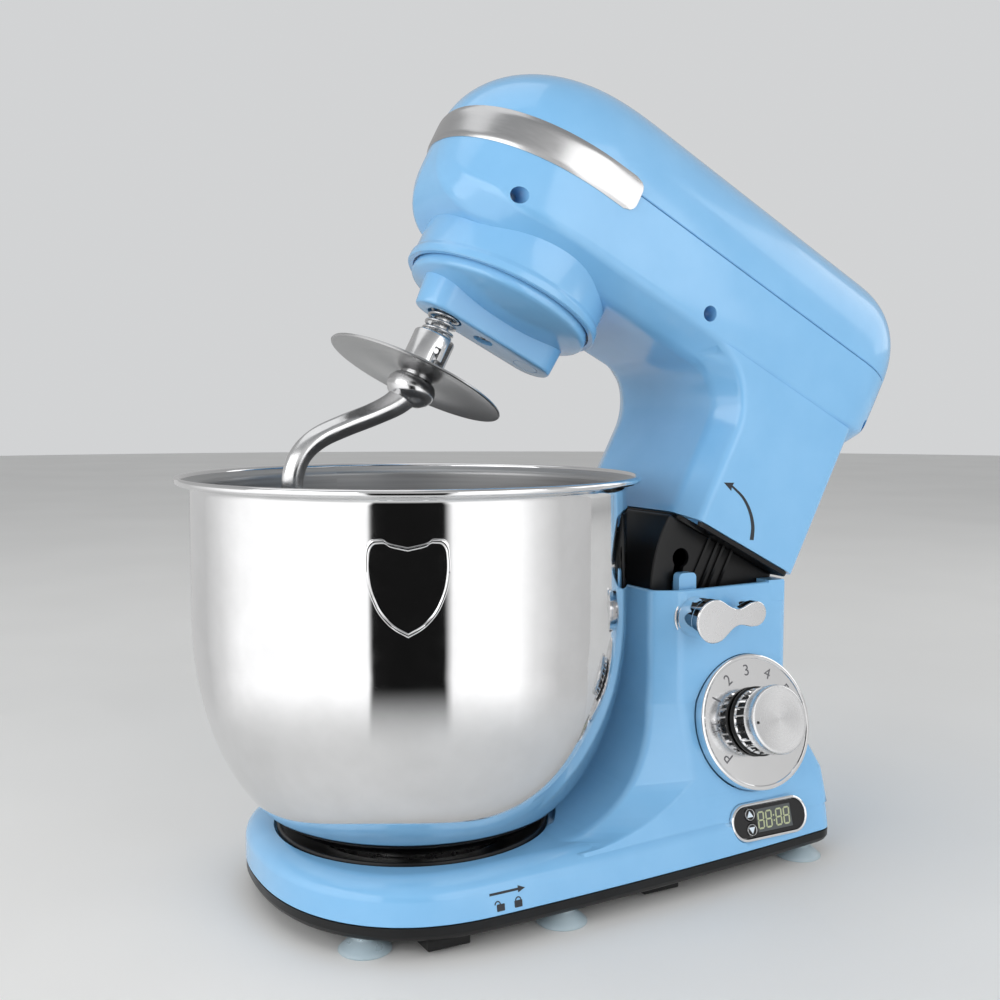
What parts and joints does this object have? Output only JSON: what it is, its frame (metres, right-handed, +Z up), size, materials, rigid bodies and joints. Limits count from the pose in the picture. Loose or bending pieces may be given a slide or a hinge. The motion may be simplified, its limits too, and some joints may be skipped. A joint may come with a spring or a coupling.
{
  "type": "tilt-head stand mixer",
  "caption": "Stand mixer with a raised tilting head, planetary dough hook, twist-locked steel bowl, locking lever, speed knob and timer panel.",
  "frame": {"origin": "on the ground under the middle of the mixer's bounding box, head raised", "axes": "+Z up, -Y is the front (the nose of the head and the bowl), +X is the side with the lever, speed knob and timer"},
  "size_m": [0.2398, 0.423, 0.427],
  "materials": {
    "blue_shell": "glossy light blue ABS",
    "black_plastic": "satin black",
    "foot_rubber": "translucent grey-blue silicone",
    "fastener_steel": "zinc plated",
    "shaft_steel": "ground",
    "bowl_steel": "polished stainless steel, brushed inside",
    "chrome_trim": "satin chrome plated plastic",
    "knob_metal": "spun face, dark chrome ribs",
    "hook_metal": "cast and polished",
    "disc_steel": "polished",
    "plate_metal": "die cast",
    "motor_iron": "laminated iron and copper windings",
    "nylon": "moulded nylon",
    "board": "circuit board",
    "lcd_glass": "liquid crystal panel"
  },
  "bodies": {
    "base": {"base_housing": "blue_shell", "base_plate": "black_plastic", "suction_foot_front_right": "foot_rubber", "suction_foot_front_left": "foot_rubber", "suction_foot_middle_right": "foot_rubber", "suction_foot_middle_left": "foot_rubber", "suction_foot_rear_right": "foot_rubber", "suction_foot_rear_left": "foot_rubber", "base_screw_1": "fastener_steel", "base_screw_2": "fastener_steel", "base_screw_3": "fastener_steel", "base_screw_4": "fastener_steel", "bowl_lock_ring": "black_plastic", "hinge_pin": "fastener_steel", "cord_gland": "black_plastic", "dial_plate": "chrome_trim", "rotary_switch": "black_plastic", "timer_bezel": "chrome_trim", "timer_panel": "black_plastic", "timer_screen": "lcd_glass", "timer_board": "board", "control_board": "board"},
    "bowl": {"bowl": "bowl_steel", "bowl_foot": "bowl_steel"},
    "head": {"head_upper_housing": "blue_shell", "head_lower_housing": "blue_shell", "trim_band": "chrome_trim", "neck_skirt": "black_plastic", "gearbox_plate": "plate_metal", "ring_gear": "nylon", "motor_stator": "motor_iron", "motor_bracket": "plate_metal", "second_axle": "shaft_steel", "first_axle": "shaft_steel", "head_screw_right_1": "fastener_steel", "head_screw_right_2": "fastener_steel", "head_screw_right_3": "fastener_steel", "head_screw_left_1": "fastener_steel", "head_screw_left_2": "fastener_steel", "head_screw_left_3": "fastener_steel"},
    "motor": {"motor_rotor": "motor_iron", "motor_pinion": "shaft_steel"},
    "first_stage": {"first_gear": "nylon"},
    "second_stage": {"second_gear": "nylon"},
    "carrier": {"planet_carrier": "blue_shell", "main_gear": "nylon", "planet_shaft": "shaft_steel", "carrier_screw": "fastener_steel"},
    "tool": {"tool_shaft": "shaft_steel", "planet_gear": "shaft_steel", "drive_pin": "fastener_steel", "tool_spring": "shaft_steel"},
    "hook": {"dough_hook": "hook_metal", "hook_disc": "disc_steel"},
    "lever": {"lock_lever": "chrome_trim", "latch_shaft": "fastener_steel"},
    "knob": {"speed_knob": "knob_metal", "knob_shaft": "shaft_steel"},
    "up_button": {"timer_up_button": "chrome_trim"},
    "down_button": {"timer_down_button": "chrome_trim"}
  },
  "joints": [
    {"name": "head_tilt", "type": "hinge", "parent": "base", "child": "head", "pos_m": [0, 0.108, 0.1525], "axis": [1, 0, 0], "range_deg": [0, 27.4]},
    {"name": "carrier_spin", "type": "hinge", "parent": "head", "child": "carrier", "pos_m": [0, -0.03567, 0.31427], "axis": [0, 0.4602, 0.8878], "continuous": true},
    {"name": "tool_spin", "type": "hinge", "parent": "carrier", "child": "tool", "pos_m": [0, -0.07212, 0.29937], "axis": [0, 0.4602, 0.8878], "continuous": true},
    {"name": "second_gear_spin", "type": "hinge", "parent": "head", "child": "second_stage", "pos_m": [0, 0.03087, 0.31356], "axis": [0, 0.4602, 0.8878], "continuous": true},
    {"name": "first_gear_spin", "type": "hinge", "parent": "head", "child": "first_stage", "pos_m": [0, 0.08039, 0.29916], "axis": [0, 0.4602, 0.8878], "continuous": true},
    {"name": "motor_spin", "type": "hinge", "parent": "head", "child": "motor", "pos_m": [0, 0.10133, 0.23199], "axis": [0, 0.4602, 0.8878], "continuous": true},
    {"name": "hook_push", "type": "slide", "parent": "tool", "child": "hook", "axis": [0, 0.4602, 0.8878], "range_m": [0, 0.005], "stiffness_N_per_m": 400, "springref_m": -0.01, "deforming": ["tool_spring"]},
    {"name": "bowl_twist", "type": "hinge", "parent": "base", "child": "bowl", "pos_m": [0, -0.0915, 0.03], "axis": [0, 0, 1], "range_deg": [0, 35]},
    {"name": "lock_lever_turn", "type": "hinge", "parent": "base", "child": "lever", "pos_m": [0.07, 0.046, 0.141], "axis": [1, 0, 0], "range_deg": [0, 40]},
    {"name": "speed_knob_turn", "type": "hinge", "parent": "base", "child": "knob", "pos_m": [0.0728, 0.0812, 0.082], "axis": [0.9583, 0, 0.2857], "range_deg": [-160, 45]},
    {"name": "timer_up_press", "type": "slide", "parent": "base", "child": "up_button", "axis": [-0.9583, 0, -0.2857], "range_m": [0, 0.001], "stiffness_N_per_m": 300, "springref_m": -0.0005},
    {"name": "timer_down_press", "type": "slide", "parent": "base", "child": "down_button", "axis": [-0.9583, 0, -0.2857], "range_m": [0, 0.001], "stiffness_N_per_m": 300, "springref_m": -0.0005}
  ],
  "couplings": [
    {"joint": "tool_spin", "follows": "carrier_spin", "ratio": -2.5},
    {"joint": "second_gear_spin", "follows": "carrier_spin", "ratio": -3.5},
    {"joint": "first_gear_spin", "follows": "carrier_spin", "ratio": 12.6},
    {"joint": "motor_spin", "follows": "carrier_spin", "ratio": -50.4}
  ]
}
